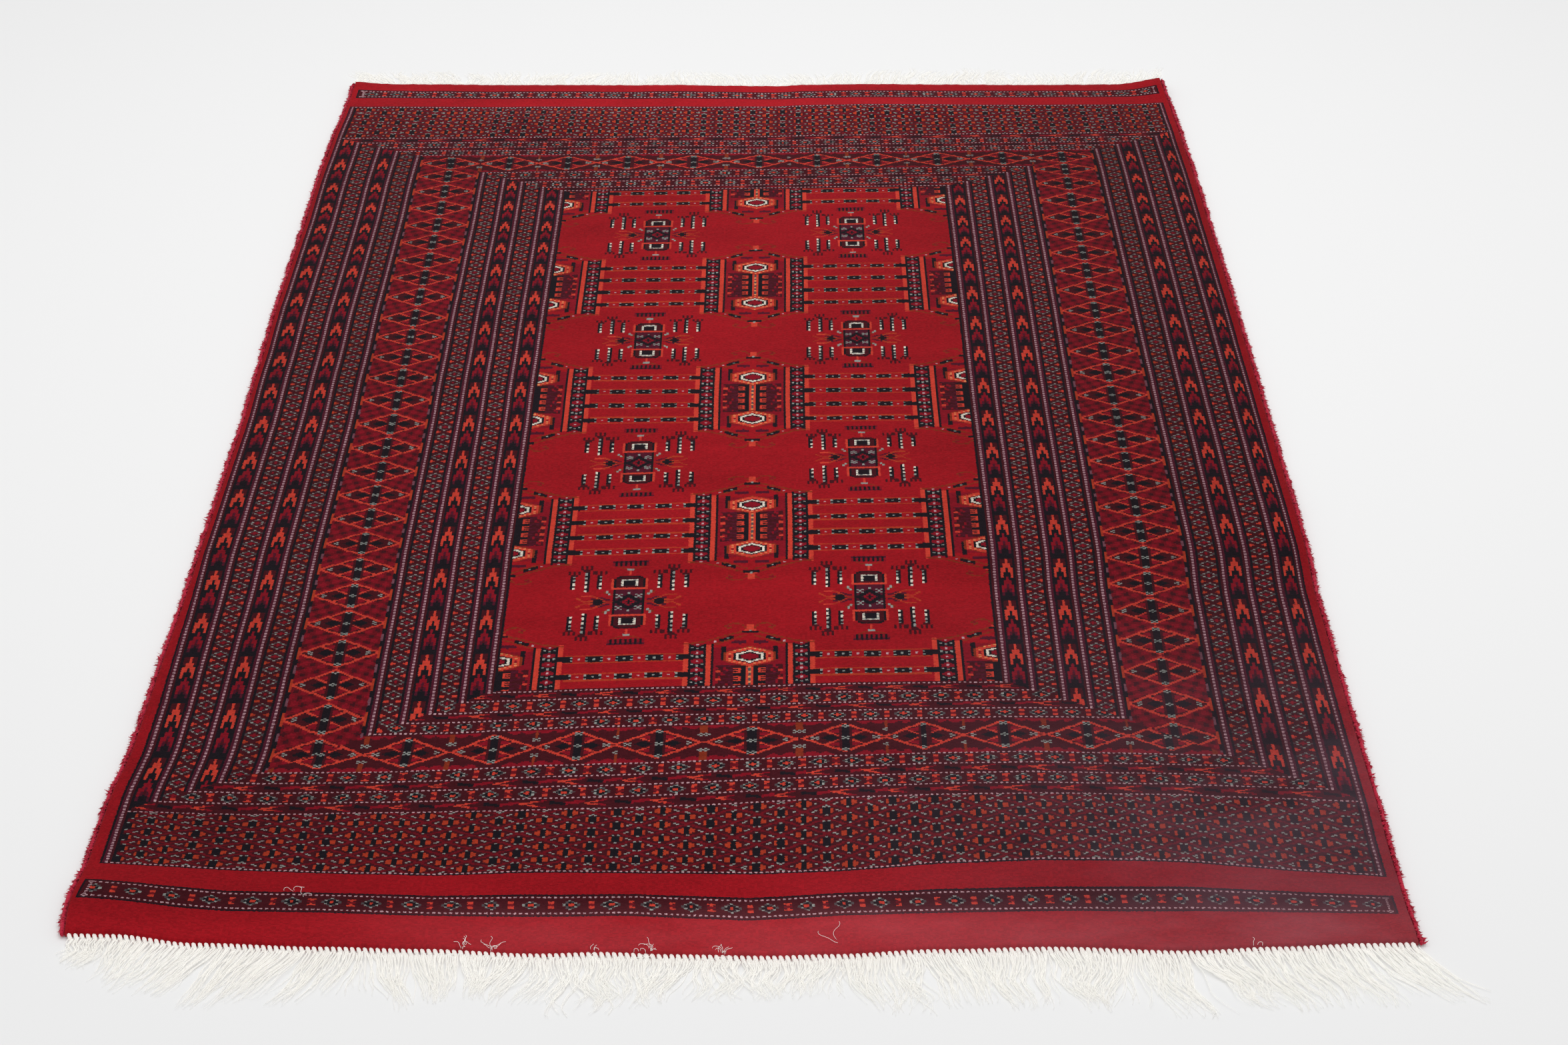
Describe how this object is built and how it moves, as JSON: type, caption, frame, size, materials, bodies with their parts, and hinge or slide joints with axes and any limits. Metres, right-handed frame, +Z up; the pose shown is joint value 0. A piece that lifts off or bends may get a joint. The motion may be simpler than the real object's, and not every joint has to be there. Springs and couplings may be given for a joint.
{
  "type": "hand-knotted wool rug",
  "caption": "Oblong hand-knotted wool rug lying flat, with overcast side cords and a knotted warp fringe along each end.",
  "frame": {"origin": "on the floor, on the flat underside, at the middle of the rug's straight-sided size without its fringes", "axes": "+Y along the rug's length, from the near end of the picture to the far end; +X to the right across its width; +Z up, out of the pile"},
  "size_m": [1.3464, 2.006, 0.0172],
  "materials": {
    "pile": "matte cut wool pile, red with a traditional repeating pattern",
    "selvedge": "matte red wool overcasting",
    "fringe": "matte undyed cotton warp yarn"
  },
  "bodies": {
    "root": {"carpet": "pile", "selvedge_left": "selvedge", "selvedge_right": "selvedge", "fringe_near": "fringe", "fringe_far": "fringe"}
  },
  "joints": []
}
